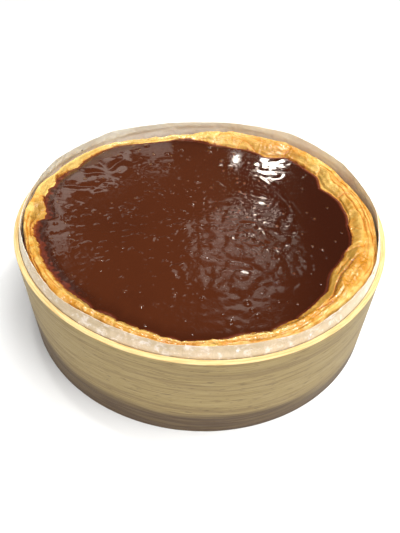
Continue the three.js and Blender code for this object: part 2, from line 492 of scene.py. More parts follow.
def wood_finish(look, name, upright):
    """Planed wood whose grain runs round the hoop, or straight along the board."""
    wood = Finish(name)
    grain = (14, 14, 420) if upright else (9, 260, 260)
    fibre = (60, 60, 2400) if upright else (60, 2000, 2000)
    vessels = (240, 240, 1700) if upright else (240, 1200, 1200)
    warp = wood.noise(wood.place((6, 6, 9)), 1, 2)
    lift = wood.node("CombineXYZ", {2 if upright else 1: wood.times(warp, 7)}).outputs[0]
    bent = wood.node("VectorMath", {0: wood.place(grain), 1: lift}, operation="ADD").outputs[0]
    figure = wood.noise(bent, 0.55, 5, 0.62, 0.3)
    rings = wood.maths("ABSOLUTE", wood.minus(wood.noise(bent, 0.8, 4, 0.55, 0.3), 0.5))
    fine = wood.noise(wood.place(fibre), 1, 4, 0.6)
    pores = wood.noise(wood.place(vessels), 1, 2, 0.5)
    base = wood.blend(wood.span(figure, 0.44, 0.66, 0, 0.7), look.face, look.figure)
    base = wood.blend(wood.span(rings, 0.03, 0, 0, 0.55), base, look.figure)
    base = wood.blend(wood.span(fine, 0.35, 0.7, 0, 0.45), base, look.figure)
    base = wood.blend(wood.span(pores, 0.6, 0.72, 0, 0.5), base, look.dark_brown)
    if upright:
        base = dark_foot_band(wood, look, base, warp, figure, rings)
        base, fine = sawn_edge(wood, look, base, fine)
    wood.set("Base Color", base)
    wood.set("Roughness", wood.span(fine, 0.3, 0.8, 0.55, 0.75))
    wood.set("Normal", wood.relief(fine, 0.12 * MM))
    return wood.material


def dark_foot_band(wood, look, base, warp, figure, rings):
    """A darker brown band along the hoop's foot, highest at the left, and small dark flecks."""
    x, _, z = wood.axes()
    left = wood.span(x, -50 * MM, -88 * MM, 0, 11.5 * MM)
    right = wood.span(x, 0, 60 * MM, 12.5 * MM, 9 * MM)
    uneven = wood.plus(wood.times(warp, 8 * MM), wood.times(figure, 10 * MM))
    line = wood.plus(wood.plus(left, right), wood.minus(uneven, 9 * MM))
    dark_brown = wood.span(wood.minus(line, z), -2.5 * MM, 3.5 * MM)
    streaks = wood.span(rings, 0, 0.08, 1, 0.8)
    base = wood.blend(wood.times(dark_brown, streaks), base, look.dark_brown)
    rare = wood.span(wood.noise(wood.place((22, 22, 40)), 1, 1), 0.6, 0.66)
    fleck = wood.times(wood.span(wood.cells(wood.place((40, 40, 130))), 0.16, 0.08), rare)
    return wood.blend(wood.times(fleck, 0.6), base, look.fleck)


def sawn_edge(wood, look, base, fine):
    """The bright edge at the hoop's top, where the saw's marks run round it."""
    x, y, z = wood.axes()
    top = wood.span(z, 50.4 * MM, 50.68 * MM)
    flat = wood.node("CombineXYZ", {0: x, 1: y}).outputs[0]
    radius = wood.node("VectorMath", {0: flat}, operation="LENGTH").outputs["Value"]
    marks = {0: wood.times(x, 90), 1: wood.times(y, 90), 2: wood.times(radius, 1900)}
    saw = wood.noise(wood.node("CombineXYZ", marks).outputs[0], 1, 4, 0.6)
    sawn = wood.blend(wood.span(saw, 0.4, 0.66), look.cut, look.cut_dark)
    return wood.blend(top, base, sawn), wood.plus(fine, wood.times(saw, top))


# ---------------------------------------------------------------------------------------------
# Baking paper
# ---------------------------------------------------------------------------------------------


class PaperLook(bpy.types.PropertyGroup):
    """Colours and sizes of the baking paper."""

    sheet: colour("Paper", "Clean baking paper", 197, 177, 146)
    # A warm browned tint, painted much lighter than the clean paper, as paper in light.
    browned_and_lit: colour("Baked", "Paper that the oven has browned", 255, 249, 228)
    grease: colour("Grease", "Stains of butter", 214, 190, 158)
    # Pale fibres, and the painted highlight in the middle of each drop of butter.
    speck_and_highlight: colour("Speckle", "Pale fibres that shine through", 250, 242, 236)
    burn: colour("Burn", "Dark specks left by the oven", 66, 44, 26)
    thickness: length("Thickness", "Thickness of the paper as it shows at the edge", 0.24)
    crumple: length("Crumple", "Depth of the small creases", 0.22)


PAPER_STEPS = 720
PAPER_FREE_FROM = 47 * MM
PAPER_FREE_LENGTH = 8 * MM

# Drops of butter on the outer side, each a bump with a painted highlight, and dark specks on the
# inner side: azimuth, and height in millimetres.
DROPS = [(-54.4, 51.6), (-56.1, 51.9), (-79.9, 53.4), (-60, 52.6)]
BURNS = [(145.7, 53.6), (176, 52.6)]


class TART_OT_paper(bpy.types.Operator):
    """Spin the strip of baking paper and crumple its free edge"""

    bl_idname = "tart.paper"
    bl_label = "Baking Paper"

    def execute(self, context):
        look = context.scene.paper_look
        solid = Solid("baking_paper")
        hoop_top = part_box("case_hoop")[1].z
        azimuths = round_azimuths(PAPER_STEPS)
        inside = solid.high.x - 2 * MM
        heights = [solid.low.z, 15 * MM, 30 * MM, 44 * MM]
        heights += [PAPER_FREE_FROM + share * PAPER_FREE_LENGTH for share in np.linspace(0, 1, 14)]
        profile = [(inside + look.thickness, height) for height in heights]
        profile += [(inside, height) for height in reversed(heights)]
        piece = turned("paper_strip", profile + profile[:1], PAPER_STEPS)
        sheet = Sheet(piece, profile, PAPER_STEPS)

        top = self.top_edge(solid, azimuths, hoop_top)
        hoop = Solid("case_hoop").radius(azimuths, hoop_top - 2 * MM)
        against = eased(hoop, 3) - HOOP_THICKNESS - 0.12 * MM
        top = top + bumps(around(azimuths, 0.087, 0.054), 5, 8, 2) * 0.12 * MM
        radius, levels = [], []
        for height in heights:
            free = max(height - PAPER_FREE_FROM, 0) / PAPER_FREE_LENGTH
            level = mixed(min(height, PAPER_FREE_FROM), top, free)
            line = eased(solid.radius(azimuths, np.minimum(level, top - 0.15 * MM)), 1.2)
            pushed = smooth(level, hoop_top + 2.5 * MM, hoop_top)
            line = mixed(line, np.maximum(line, against), pushed)
            crumple = bumps(around(azimuths, 0.087, level * 1.4), 7, 21)
            crumple += 0.5 * creased(around(azimuths, 0.087, level * 1.2), 4.5, 22)
            radius.append(line + (crumple - 0.6) * look.crumple * free**0.7)
            levels.append(level)
        inner = [line - look.thickness for line in radius]
        sheet.place(np.array(radius + inner[::-1]), np.array(levels + levels[::-1]))
        drops = [self.on_sheet(solid, *place, from_outside=True) for place in DROPS]
        burns = [self.on_sheet(solid, *place, from_outside=False) for place in BURNS]
        finish = paper_finish(look, drops, burns)
        finished(piece, "baking_paper", finish, angle=60)
        return {"FINISHED"}

    def on_sheet(self, solid, azimuth, height, from_outside):
        """A place on one side of the sheet."""
        angle = math.radians(azimuth)
        radius = solid.radius([angle], height * MM, from_outside)[0]
        return (radius * math.cos(angle), radius * math.sin(angle), height * MM)

    def top_edge(self, solid, azimuths, hoop_top):
        """Height of the paper's upper edge, found with a feeler just under the hoop's rim."""
        middle = eased(solid.radius(azimuths, hoop_top + 3 * MM), 1) - 0.25 * MM
        shifts = (-0.6, -0.45, -0.3, -0.15, 0, 0.15, 0.3)
        heights = [solid.top(azimuths, middle + shift * MM) for shift in shifts]
        return eased(filled(np.nanmax(np.array(heights), axis=0)), 2)


def paper_finish(look, drops, burns):
    """Baking paper: browned and greasy, with pale fibres that show through. Towards the back it is
    painted much lighter, as paper in light, and each drop of butter has a painted highlight.
    """
    paper = Finish("baking_paper_finish", Subsurface_Weight=0.15)
    paper.set("Subsurface Radius", (1.0, 0.85, 0.6))
    paper.set("Subsurface Scale", 1.5 * MM)
    mottled = paper.noise(paper.place((60, 60, 60)), 1, 5, 0.6, 0.6)
    fibres = paper.noise(paper.place((260, 260, 380)), 1, 5, 0.65, 0.4)
    creases = paper.noise(paper.place((150, 150, 150)), 1, 4, 0.55, 0.8)
    # Painted light: the paper grows lighter towards the back, where it takes the lit colour and
    # fewer stains and specks.
    back = paper.span(paper.axes()[1], -75 * MM, -10 * MM)
    base = paper.blend(back, look.sheet, look.browned_and_lit)
    stained = paper.times(paper.span(mottled, 0.42, 0.66), paper.span(back, 0, 1, 0.75, 0.3))
    base = paper.blend(stained, base, look.grease)
    specks = paper.times(paper.span(fibres, 0.5, 0.68), paper.span(back, 0, 1, 0.55, 0.3))
    base = paper.blend(specks, base, look.speck_and_highlight)
    relief = paper.relief(creases, 0.9 * MM)
    for point in drops:
        # A painted highlight: the middle of each drop takes the pale speckle colour.
        drop_and_highlight = paper.span(paper.distance(point), 0.9 * MM, 0.1 * MM)
        base = paper.blend(drop_and_highlight, base, look.speck_and_highlight)
        relief = paper.relief(drop_and_highlight, 0.25 * MM, relief)
    for point in burns:
        spot = paper.span(paper.distance(point), 0.75 * MM, 0.4 * MM)
        base = paper.blend(spot, base, look.burn)
    paper.set("Base Color", base)
    paper.set("Roughness", paper.span(mottled, 0.4, 0.65, 0.55, 0.32))
    paper.set("Normal", relief)
    return paper.material


# ---------------------------------------------------------------------------------------------
# Pastry
# ---------------------------------------------------------------------------------------------


class PastryLook(bpy.types.PropertyGroup):
    """Colours and sizes of the pastry."""

    gold: colour("Gold", "Baked dough", 210, 152, 54)
    pale: colour("Pale", "Flour-pale crests", 236, 199, 112)
    amber: colour("Amber", "Egg wash that has run together", 200, 126, 24)
    # The brown deep in a crack, partly painted shade.
    crack_brown_and_shade: colour("Crack", "Deep between two layers", 142, 78, 20)
    # Thin greenish dough, also used as painted shade on the inner slopes at the right.
    film_and_shade: colour("Film", "Thin greenish dough towards the custard", 172, 128, 48)
    soaked: colour("Soaked", "Dough that has drunk chocolate", 128, 52, 8)
    crease: FloatProperty(
        name="Creases", description="Depth of the creases, as a share", default=1.0, min=0
    )
    puff: length("Puff", "How far the dough swells between two creases", 1)
    bulge: length("Bulge", "How far the sides lean out against the paper", 1.6)


RIM_STEPS = 1320
RIM_ROWS = 56

# Height at which the rim's outer edge and its lip are felt on the frame's pastry.
RIM_LEVEL = 50.45 * MM
# The radius, in millimetres, at which distances along the rim are measured.
RIM_RADIUS = 80

# Creases in the rim: depth in millimetres (below 0 it is a ridge), reach of the swell beside it,
# how dark it is painted (gathered egg wash and painted shade in the crease), and the places that
# it runs through, each an azimuth and how far across the rim it lies (0 is the outer edge, 1 the
# lip at the custard).
CREASES = [
    # right: the outer layers and the long hollow inside them
    (0.5, 1.0, 0.6, [(40, 0.30), (29, 0.28), (20, 0.17), (14, 0.12), (1, 0.08), (-8, 0.02)]),
    (0.5, 1, 0.7, [(31, 0.3), (22, 0.22), (15, 0.28), (8, 0.25), (1, 0.32), (-9, 0.2), (-20, 0.1)]),
    (0.35, 0.7, 0.5, [(24, 0.10), (12, 0.03), (2, 0.19), (-10, 0.1), (-28, 0.05)]),
    (0.6, 1.2, 0.7, [(31, 0.57), (19, 0.48), (11, 0.55), (5, 0.51), (-1, 0.42), (-13, 0.39)]),
    (0.3, 0.8, 0.4, [(-13, 0.39), (-20, 0.33), (-27, 0.36)]),
    # right: pinches down to the lip
    (0.9, 1.8, 0.7, [(14, 1.15), (16, 0.85), (16, 0.52), (15, 0.31)]),
    (0.7, 1.5, 0.5, [(-21, 1.1), (-18, 0.79), (-16, 0.55), (-13, 0.43)]),
    (0.7, 1.6, 0.5, [(33, 1.15), (34, 0.64), (36, 0.42)]),
    (1.0, 1.4, 0.8, [(52, 0.4), (53, 0.7), (52, 1.15)]),
    (0.4, 1.0, 0.4, [(2, 1.1), (4, 0.8), (3, 0.6)]),
    (0.4, 1.0, 0.4, [(-7, 1.1), (-5, 0.8), (-7, 0.6)]),
    # front right: the fold under the puffed stretch, and short cracks outside it
    (1.1, 1.3, 0.9, [(-22, 0.6), (-27, 0.69), (-35, 0.73), (-40, 0.75), (-44, 0.62), (-49, 0.55)]),
    (0.5, 0.9, 0.5, [(-24, 0.82), (-30, 0.86), (-36, 0.84)]),
    (0.7, 1.0, 0.8, [(-45, 0.42), (-49, 0.51), (-53, 0.62)]),
    (0.4, 0.8, 0.7, [(-14, 0.1), (-21, 0.1), (-27, 0.05), (-34, 0.02)]),
    (0.4, 0.8, 0.5, [(-22, 0.2), (-27, 0.15), (-32, 0.18)]),
    (0.4, 0.8, 0.5, [(-53, 0.1), (-57, 0.04)]),
    (0.4, 0.9, 0.5, [(-60, 0.1), (-63, 0.14), (-68, 0.13)]),
    # front: the small glossy lobe with a ridge over it
    (0.5, 0.9, 0.45, [(-84, 0.33), (-79, 0.35), (-74, 0.24), (-69, 0.16)]),
    (0.35, 0.8, 0.35, [(-85, 0.13), (-78, 0.14), (-72, 0.06)]),
    (-0.5, 0.9, 0.0, [(-87, 0.28), (-82, 0.51), (-78, 0.56), (-71, 0.53)]),
    # back: long lines of the broad leaf, and the step at its end
    (0.5, 1.2, 0.6, [(82, 0.64), (76, 0.51), (71, 0.70), (65, 0.96), (59, 1.03)]),
    (0.5, 1.1, 0.6, [(80, 0.22), (73, 0.17), (65, 0.11), (58, 0.18)]),
    (0.4, 1.0, 0.5, [(79, 0.38), (70, 0.34), (62, 0.45)]),
    (0.6, 1.0, 0.5, [(76, 1.15), (75, 0.85), (73, 0.63)]),
    (1.0, 1.2, 0.8, [(86, 0.6), (84, 0.24), (82, 0.02)]),
    (0.4, 0.9, 0.5, [(97, 1.08), (90, 0.66)]),
    # left: cracked layers
    (0.6, 1.0, 0.8, [(-174, 0.66), (-166, 0.54), (-160, 0.44)]),
    (0.4, 0.9, 0.6, [(-176, 0.3), (-166, 0.24), (-157, 0.12), (-150, 0.22)]),
    (0.5, 0.9, 0.8, [(-152, 0.3), (-146, 0.22), (-137, 0.1)]),
    (0.5, 0.9, 0.7, [(-160, 0.04), (-150, 0.08), (-142, 0.04), (-133, 0.1)]),
    (0.4, 0.9, 0.6, [(-147, 0.55), (-139, 0.5), (-133, 0.62)]),
    (0.5, 0.9, 0.6, [(-131, 0.05), (-124, 0.14), (-117, 0.1), (-110, 0.06)]),
    (0.3, 0.8, 0.4, [(-107, 0.2), (-98, 0.3), (-91, 0.15)]),
]

# How far the lip reaches in beyond the frame's lip, as azimuths and millimetres, and the sharp
# notches in it: azimuth and depth in millimetres.
LIP_REACH = [
    (-42, 0), (-30, -0.4), (-21, -0.6), (-16, -1.8), (-12, -1.2), (-2, 0.2), (4, 0.9), (14, 1.2),
    (19, 1.8), (24.5, 3.0), (26.5, 2.0), (32, 1.4), (48, 0.6), (52, 0.3), (55, 2.6), (60, 2.4),
    (63, 0.8), (70, 0.2), (75, 1.2), (82, 0.4), (93, 0), (105, 0.3), (109, 2.2), (117, 2.0),
    (125, 1.0), (131, 0.5), (150, 0.3), (153, 1.3), (156, 0.5), (160, 0), (167, 1.2), (173, 0.9),
    (177, -1.8), (180, -2.7), (182, 0), (184, 2.7), (187, 3.6), (188.5, 0.6), (194, -0.3),
    (201, 1.0), (207, 0.2), (219, 0.3), (235, 0.9), (241, 1.0), (251, 0.4), (263, 0.8),
    (272, 0.3), (283, 0.4), (297, 0.2),
]  # fmt: skip
NOTCHES = [
    (163, 2.6), (170, 1.0), (214, 0.5), (221.5, 0.9), (226, 0.7), (231, 0.5), (237.5, 1.6),
    (246.8, 2.6), (253.7, 1.3), (260.3, 1.7), (266, 1.3), (275, 0.7), (291, 1.5), (301, 0.7),
]  # fmt: skip

# Soft-edged patches of the rim, each from one azimuth to another and from one place across to
# another: where it shows fine layers, where the egg wash stayed glossy, where the dough is thin
# and greenish, where the inner slopes at the right take that greenish colour as painted shade,
# and where it stayed pale.
LAYERED = [(-50, 50, 0, 0.4), (56, 88, 0, 1), (166, 226, 0, 0.9), (270, 302, 0, 0.4)]
GLAZED = [
    (-64, -20, 0.25, 0.7), (48, 66, 0.2, 1), (86, 136, 0, 1), (228, 266, 0, 0.6),
    (262, 302, 0.3, 1),
]  # fmt: skip
FILM_FRONT_RIGHT, FILM_LEFT = (-52, -18, 0.66, 1.3), (180, 190, 0.4, 1.3)
SHADED_INNER_SLOPE, FILM_FRONT_LIP = (-16, 92, 0.62, 1.3), (219, 264, 0.68, 1.3)
PALE = [(142, 176, -0.2, 1.2), (84, 140, -0.2, 0.9)]
FAINTLY_PALE = [(217, 296, 0.45, 0.75), (18, 38, 0.5, 0.9)]


def lip_line(shell, azimuths):
    """Radius of the pastry's lip: the frame's, with its own tongues, notches and ragged edge."""
    degrees = np.degrees(azimuths)
    lip = eased(shell.radius(azimuths, RIM_LEVEL, from_outside=False), 1.5)
    edge = eased(shell.radius(azimuths, RIM_LEVEL), 2)
    places, reach = zip(*LIP_REACH)
    lip = lip - np.interp(degrees, np.array(places) % 360, reach, period=360) * MM
    for azimuth, depth in NOTCHES:
        away = np.abs((degrees - azimuth + 180) % 360 - 180)
        lip = lip + depth * MM * np.exp(-away / 1.1)
    ragged = mixed(0.22, 0.7, stretch(degrees, 158, 228, 4))
    lip = lip + bumps(around(azimuths, 0.078, 0), 1.7, 31, 2) * ragged * MM
    return np.minimum(lip, edge - 0.9 * MM)


class TART_OT_pastry(bpy.types.Operator):
    """Spin the pastry shell, then crease, layer and blister its rim"""

    bl_idname = "tart.pastry"
    bl_label = "Pastry Shell"

    def execute(self, context):
        look = context.scene.pastry_look
        solid = Solid("pastry_shell")
        azimuths = round_azimuths(RIM_STEPS)
        degrees = np.degrees(azimuths)
        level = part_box("chocolate_custard")[1].z
        edge = eased(solid.radius(azimuths, RIM_LEVEL), 2)
        lip = lip_line(solid, azimuths)
        right, left = stretch(degrees, -38, 12, 14), stretch(degrees, 166, 192, 9)
        bulge = look.bulge * (right + 1.5 * left + 0.7 * stretch(degrees, 204, 234, 9))

        outer_heights = [5.8 * MM, 16 * MM, 28 * MM, 38 * MM, 47 * MM, 49.3 * MM]
        inner_heights = [49.4 * MM, 44 * MM, 36 * MM, 28 * MM, 20 * MM, 12.5 * MM]
        shares = np.linspace(0, 1, RIM_ROWS)
        low = solid.low.z
        floor = low + 4 * MM
        profile = [(0, low), (0.04, low), (0.083, low)]
        profile += [(0.086, height) for height in outer_heights]
        profile += [(0.085 - share * 0.01, 54 * MM) for share in shares]
        profile += [(0.074, height) for height in inner_heights]
        profile += [(0.071, floor), (0.035, floor), (0, floor)]
        piece = turned("pastry_crust", profile, RIM_STEPS)
        sheet = Sheet(piece, profile, RIM_STEPS)

        outer = [eased(solid.radius(azimuths, height), 2) for height in outer_heights]
        inner = [eased(solid.radius(azimuths, height, False), 2) for height in inner_heights]
        inner[0] = lip + 0.3 * MM
        rim = self.rim_heights(solid, azimuths, mixed(edge, lip, shares[:, None]))
        edge = edge + bulge
        outer[-2:] = [outer[-2] + 0.2 * bulge, outer[-1] + bulge]
        rim_radius = mixed(edge, lip, shares[:, None])
        width = edge - lip
        pressed, crease_wash_and_shade = self.creases(degrees, shares, width, rim_radius, look.puff / MM)
        fine = self.fine_relief(azimuths, degrees, shares, rim_radius, width)
        # the relief fades at both edges of the rim, and where the rim is thin
        held = smooth(shares, 1, 0.93) * smooth(shares, -0.02, 0.05)
        room = smooth(width, 0.5 * MM, 5 * MM)
        rise = 0.9 * MM * stretch(degrees, -54, -22, 8)
        rim = rim + (pressed * look.crease + fine + rise) * held[:, None] * mixed(0.25, 1, room)
        rim = np.maximum(rim, level - 0.2 * MM)

        flat = np.zeros(RIM_STEPS)
        radius = [flat, flat + 0.04, outer[0] - 2.4 * MM, *outer, *rim_radius]
        radius += [*inner, inner[-1] - 3 * MM, flat + 0.035, flat]
        height = [flat + low] * 3 + [flat + row for row in outer_heights] + list(rim)
        height += [flat + row for row in inner_heights] + [flat + floor] * 3
        sheet.place(np.array(radius), np.array(height))

        def paint(name, table):
            above = np.zeros((3 + len(outer_heights), RIM_STEPS))
            below = np.repeat(table[-1:], len(inner_heights) + 3, axis=0)
            sheet.paint(name, np.concatenate([above, table, below]))

        depth = np.repeat(shares[:, None], RIM_STEPS, axis=1)
        film_and_shade = self.patches(degrees, shares, [FILM_FRONT_RIGHT, FILM_LEFT])
        # Painted shade: the inner slopes from the front right round to the back take half the film
        # colour.
        film_and_shade += 0.5 * self.patches(degrees, shares, [SHADED_INNER_SLOPE])
        film_and_shade += 0.8 * self.patches(degrees, shares, [FILM_FRONT_LIP])
        pale = self.patches(degrees, shares, PALE)
        pale += 0.6 * self.patches(degrees, shares, FAINTLY_PALE)
        soak = stretch(degrees, 186, 230, 5) + 0.7 * stretch(degrees, 12, 48, 6)
        paint("across", depth)
        paint("from_lip", (1 - depth) * width / MM)
        paint("crease_wash_and_shade", crease_wash_and_shade)
        paint("glaze", np.clip(self.patches(degrees, shares, GLAZED), 0, 1))
        paint("film_and_shade", np.clip(film_and_shade, 0, 1))
        paint("soak", np.repeat(soak[None, :], RIM_ROWS, axis=0))
        paint("flour", np.clip(pale, 0, 1))
        finished(piece, "pastry_shell", pastry_finish(look), angle=60)
        return {"FINISHED"}

    def patches(self, degrees, shares, zones):
        """Soft-edged patches of the rim, added together."""
        total = np.zeros((len(shares), len(degrees)))
        for start, end, outside, inside in zones:
            over_it = smooth(shares, outside - 0.06, outside + 0.06)
            over_it = over_it * smooth(shares, inside + 0.06, inside - 0.06)
            total += over_it[:, None] * stretch(degrees, start, end, 3)[None, :]
        return total

    def rim_heights(self, solid, azimuths, radii):
        """The solid's rim, with its facets evened out."""
        lines = [filled(solid.top(azimuths, line)) for line in radii[1:-1]]
        lines = np.array([lines[0], *lines, lines[-1]])
        lines = eased(lines.T, 3).T
        for _ in range(2):
            lines[1:-1] = (lines[:-2] + 2 * lines[1:-1] + lines[2:]) / 4
        return lines

    def creases(self, degrees, shares, width, radii, puff):
        """How far the creases press the rim in, and how dark each place is painted for them, as
        gathered egg wash and painted shade.
        """
        places = around(np.radians(degrees)[None, :], radii, 0)
        x_shift = bumps(places, 6, 41).reshape(radii.shape) * 0.9
        y_shift = bumps(places, 5, 42).reshape(radii.shape) * 0.5
        depth_in = shares[:, None] * width[None, :] / MM + y_shift
        pressed = np.zeros(radii.shape)
        crease_wash_and_shade = np.zeros(radii.shape)
        nearest = np.full(radii.shape, 9.0)
        for depth, reach, tone, path in CREASES:
            middle = path[len(path) // 2][0]
            turn = (degrees - middle + 180) % 360 - 180
            run = np.radians(turn)[None, :] * RIM_RADIUS + x_shift
            corners = []
            for azimuth, across in path:
                local = np.interp(azimuth % 360, degrees, width, period=360) / MM
                corners.append((math.radians(azimuth - middle) * RIM_RADIUS, across * local))
            away = np.full(radii.shape, 99.0)
            share = np.zeros(radii.shape)
            for place, (first, last) in enumerate(zip(corners, corners[1:])):
                dx, dy = last[0] - first[0], last[1] - first[1]
                part = ((run - first[0]) * dx + (depth_in - first[1]) * dy) / (dx * dx + dy * dy)
                part = np.clip(part, 0, 1)
                gap = np.hypot(run - first[0] - part * dx, depth_in - first[1] - part * dy)
                share = np.where(gap < away, (place + part) / (len(corners) - 1), share)
                away = np.minimum(away, gap)
            taper = smooth(np.abs(share - 0.5), 0.5, 0.36)
            pressed -= depth * taper * (0.6 * np.exp(-away / 0.4) + 0.4 * np.exp(-away / reach))
            crease_wash_and_shade = np.maximum(crease_wash_and_shade, tone * taper * np.exp(-((away / 0.5) ** 2)))
            if depth > 0:
                nearest = np.minimum(nearest, away / mixed(0.4, 1, taper))
        swell = 1 - np.exp(-nearest / 1.6)
        return (pressed + (swell - 0.7) * puff * 0.7) * MM, np.clip(crease_wash_and_shade, 0, 1)

    def fine_relief(self, azimuths, degrees, shares, radii, width):
        """Thin layers, blisters and crumb on top of the creases."""
        places = around(azimuths[None, :], radii, 0)
        shape = radii.shape
        wander = bumps(places, 8, 51, 2).reshape(shape)
        depth = shares[:, None] * width[None, :] / MM
        lines = np.sin(np.pi * (depth / 0.95 + 1.3 * wander))
        layered = np.clip(self.patches(degrees, shares, LAYERED), 0, 1)
        layers = (np.sqrt(np.abs(lines)) - 0.7) * 0.2 * layered
        lumps = bumps(places, 5, 55).reshape(shape) * 0.5
        blisters = np.clip(bumps(places, 2.6, 52).reshape(shape) - 0.05, 0, 1) * 0.75
        glazed = np.clip(self.patches(degrees, shares, GLAZED), 0, 1)
        wrinkles = creased(places, 2.8, 53).reshape(shape) * 0.12
        crumb = bumps(places, 0.9, 54).reshape(shape) * 0.07
        rough = blisters * (1 - 0.6 * layered) + wrinkles * (0.5 + glazed)
        return (layers + lumps + rough + crumb) * MM


def pastry_finish(look):
    """Baked dough: gold on the crests, amber where egg wash gathered, and amber and brown in the
    creases, partly painted shade. The greenish film colour on the inner slopes at the right is
    painted shade.
    """
    dough = Finish("baked_dough", Coat_Roughness=0.08, Subsurface_Weight=0.06)
    dough.set("Subsurface Radius", (1.0, 0.45, 0.15))
    dough.set("Subsurface Scale", 0.8 * MM)
    across, crease_wash_and_shade = dough.attribute("across"), dough.attribute("crease_wash_and_shade")
    glaze, flour = dough.attribute("glaze"), dough.attribute("flour")
    cloudy = dough.noise(dough.place((190, 190, 190)), 1, 4, 0.6, 0.3)
    patchy = dough.noise(dough.place((75, 75, 75)), 1, 3, 0.5, 0.3)
    blotch = dough.noise(dough.place((380, 380, 380)), 1, 3, 0.55, 0.5)
    grit = dough.noise(dough.place((1100, 1100, 1100)), 1, 3, 0.6)
    base = dough.blend(dough.span(cloudy, 0.34, 0.66), look.pale, look.gold)
    base = dough.blend(dough.span(across, 0.15, 0.62, 0, 0.5), base, look.gold)
    base = dough.blend(dough.span(patchy, 0.5, 0.7, 0, 0.6), base, look.amber)
    base = dough.blend(dough.span(blotch, 0.52, 0.72, 0, 0.5), base, look.amber)
    base = dough.blend(dough.times(glaze, 0.5), base, look.amber)
    base = dough.blend(dough.times(flour, 0.85), base, look.pale)
    # The film colour: thin dough towards the custard, and painted shade on the inner slopes.
    thin = dough.times(dough.attribute("film_and_shade"), dough.span(cloudy, 0.3, 0.6, 0.45, 0.95))
    base = dough.blend(thin, base, look.film_and_shade)
    # Painted shade in the creases: amber, and brown in the deepest, partly egg wash that gathered
    # there.
    base = dough.blend(dough.span(crease_wash_and_shade, 0.1, 0.6, 0, 0.8), base, look.amber)
    base = dough.blend(dough.span(crease_wash_and_shade, 0.45, 0.9, 0, 0.8), base, look.crack_brown_and_shade)
    dry = dough.plus(dough.attribute("from_lip"), dough.times(blotch, -1.4))
    dry = dough.plus(dry, dough.times(flour, 0.35))
    dry = dough.minus(dry, dough.times(dough.attribute("soak"), 0.9))
    base = dough.blend(dough.span(dry, 0.5, -0.5, 0, 0.85), base, look.amber)
    base = dough.blend(dough.span(dry, -0.05, -0.7, 0, 0.95), base, look.soaked)
    base = dough.blend(dough.span(grit, 0.6, 0.75, 0, 0.3), base, look.amber)
    dough.set("Base Color", base)
    dough.set("Coat Weight", dough.plus(dough.times(glaze, 0.7), 0.25))
    rough = dough.span(blotch, 0.35, 0.7, 0.56, 0.4)
    dough.set("Roughness", dough.minus(rough, dough.times(glaze, 0.26)))
    runs = dough.times(dough.cells(dough.place((430, 430, 430))), glaze)
    relief = dough.relief(runs, 0.5 * MM, dough.relief(grit, 0.3 * MM))
    dough.set("Normal", dough.relief(blotch, 0.6 * MM, relief))
    return dough.material


# ---------------------------------------------------------------------------------------------
# Chocolate custard
# ---------------------------------------------------------------------------------------------


class CustardLook(bpy.types.PropertyGroup):
    """Colours and sizes of the chocolate custard."""

    body: colour("Chocolate", "Colour of the custard", 76, 35, 16)
    # A darker chocolate for random cloudy patches, also used as painted shade towards the right
    # side, the pastry and the torn edge.
    dark_and_shaded: colour("Deep", "Darker chocolate towards the pastry", 52, 20, 8)
    rim: colour("Rim", "Thin red-brown edge where light shines through", 110, 46, 27)
    wrinkle: length("Wrinkles", "Depth of the wrinkled skin", 0.16)
    wave: length("Waves", "Depth of the broad waves", 0.16)
    dish: length("Dish", "How far the skin lies below its edge", 0.35)
    # Paler chocolate over the bubbles: partly real froth, partly a painted sheen where they glint.
    froth_and_sheen: colour("Froth", "Paler chocolate over a bubble", 128, 84, 62)
    bubble: length("Bubbles", "Height of the small bubbles in the skin", 0.28)


SKIN_STEPS = 720
SKIN_ROWS = 118

# The stretch at the left where the skin tore from the pastry, in azimuths.
TORN = (158, 230)

# Strokes that a spoon left in the skin: height and width in millimetres, and the places in
# millimetres that each runs through.
STROKES = [
    (0.07, 1.0, [(30, 37), (37, 27), (43, 16), (47, 4)]),
    (0.07, 0.9, [(35, 35), (42, 24), (47, 14), (51, 3)]),
    (-0.06, 1.2, [(-19, 9), (-6, -9), (4, -25)]),
    (0.05, 1.0, [(-2, 36), (5, 31), (11, 24)]),
]

# Bubbles that stand out with a bright glint: place in millimetres.
BEADS = [
    (1, -57), (20, -58), (22, -62), (24, -65), (13, -69), (-58, -52), (-70, -38), (-36, -69),
    (-47, -63), (-76, -22), (-36, 64), (-15, 61), (-23, 56), (1, 61), (1, 66), (33, -29),
]  # fmt: skip

# Broad low swells that mirror the window: place and size in millimetres.
SWELLS = [
    (-14, -42, 3.2), (-46, -38, 2.6), (-31, -59, 2.6), (-9, -8, 3.4), (-6, -29, 3.6),
    (-25, -20, 2.2), (-56, 14, 2.6), (-20, -62, 3), (3, -50, 3.2), (-12, 30, 2.4), (-32, 8, 1.8),
]  # fmt: skip

# Of a bubble that stands out: its size and height in millimetres. A swell's height is a share of
# its size.
BEAD_SIZE, BEAD_HEIGHT = 0.9, 0.45
SWELL_SHARE = 0.07


